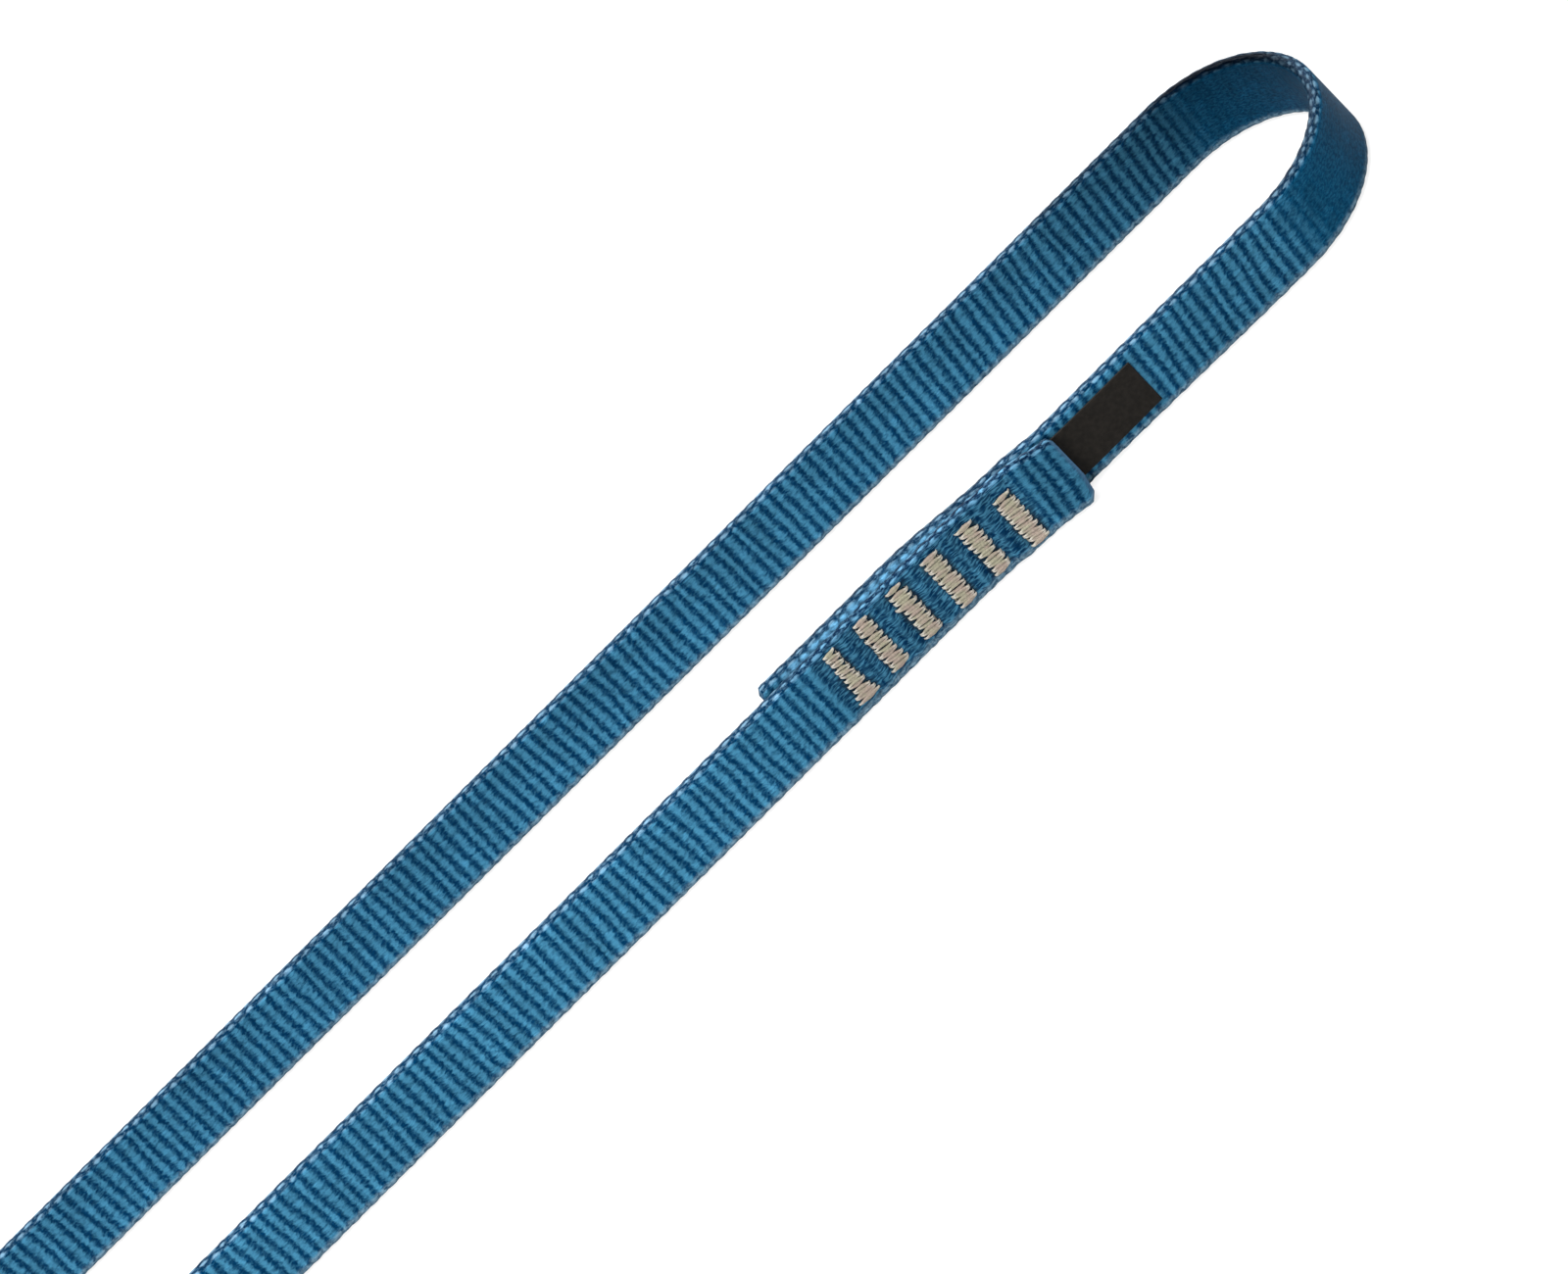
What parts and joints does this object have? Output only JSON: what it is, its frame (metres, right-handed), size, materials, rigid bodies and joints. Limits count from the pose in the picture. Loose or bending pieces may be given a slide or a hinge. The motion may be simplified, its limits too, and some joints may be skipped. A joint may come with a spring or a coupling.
{
  "type": "climbing sling",
  "caption": "Sewn webbing sling: a flat woven strip lapped into an open loop and closed by a row of bar tacks, with a blank tape label under the outer end.",
  "frame": {"origin": "middle of the object's base, on the surface that the lower selvedge stands on", "axes": "+X along the two legs towards the bend beside the label, +Y from the sewn leg to the plain leg, +Z across the webbing, up"},
  "size_m": [0.574, 0.056, 0.016],
  "materials": {
    "webbing": "ribbed woven nylon, blue",
    "thread": "bonded nylon thread, beige",
    "label": "smooth woven tape, black"
  },
  "bodies": {
    "sling": {"webbing": "webbing", "bar_tack_1_needle_thread": "thread", "bar_tack_1_bobbin_thread": "thread", "bar_tack_2_needle_thread": "thread", "bar_tack_2_bobbin_thread": "thread", "bar_tack_3_needle_thread": "thread", "bar_tack_3_bobbin_thread": "thread", "bar_tack_4_needle_thread": "thread", "bar_tack_4_bobbin_thread": "thread", "bar_tack_5_needle_thread": "thread", "bar_tack_5_bobbin_thread": "thread", "bar_tack_6_needle_thread": "thread", "bar_tack_6_bobbin_thread": "thread", "label_tail": "label"},
    "label": {"label_leaf": "label"}
  },
  "joints": [
    {"name": "label_lift", "type": "hinge", "parent": "sling", "child": "label", "pos_m": [0.20623, -0.025, 0.008], "axis": [0, 0, -1], "range_deg": [0, 120]}
  ]
}
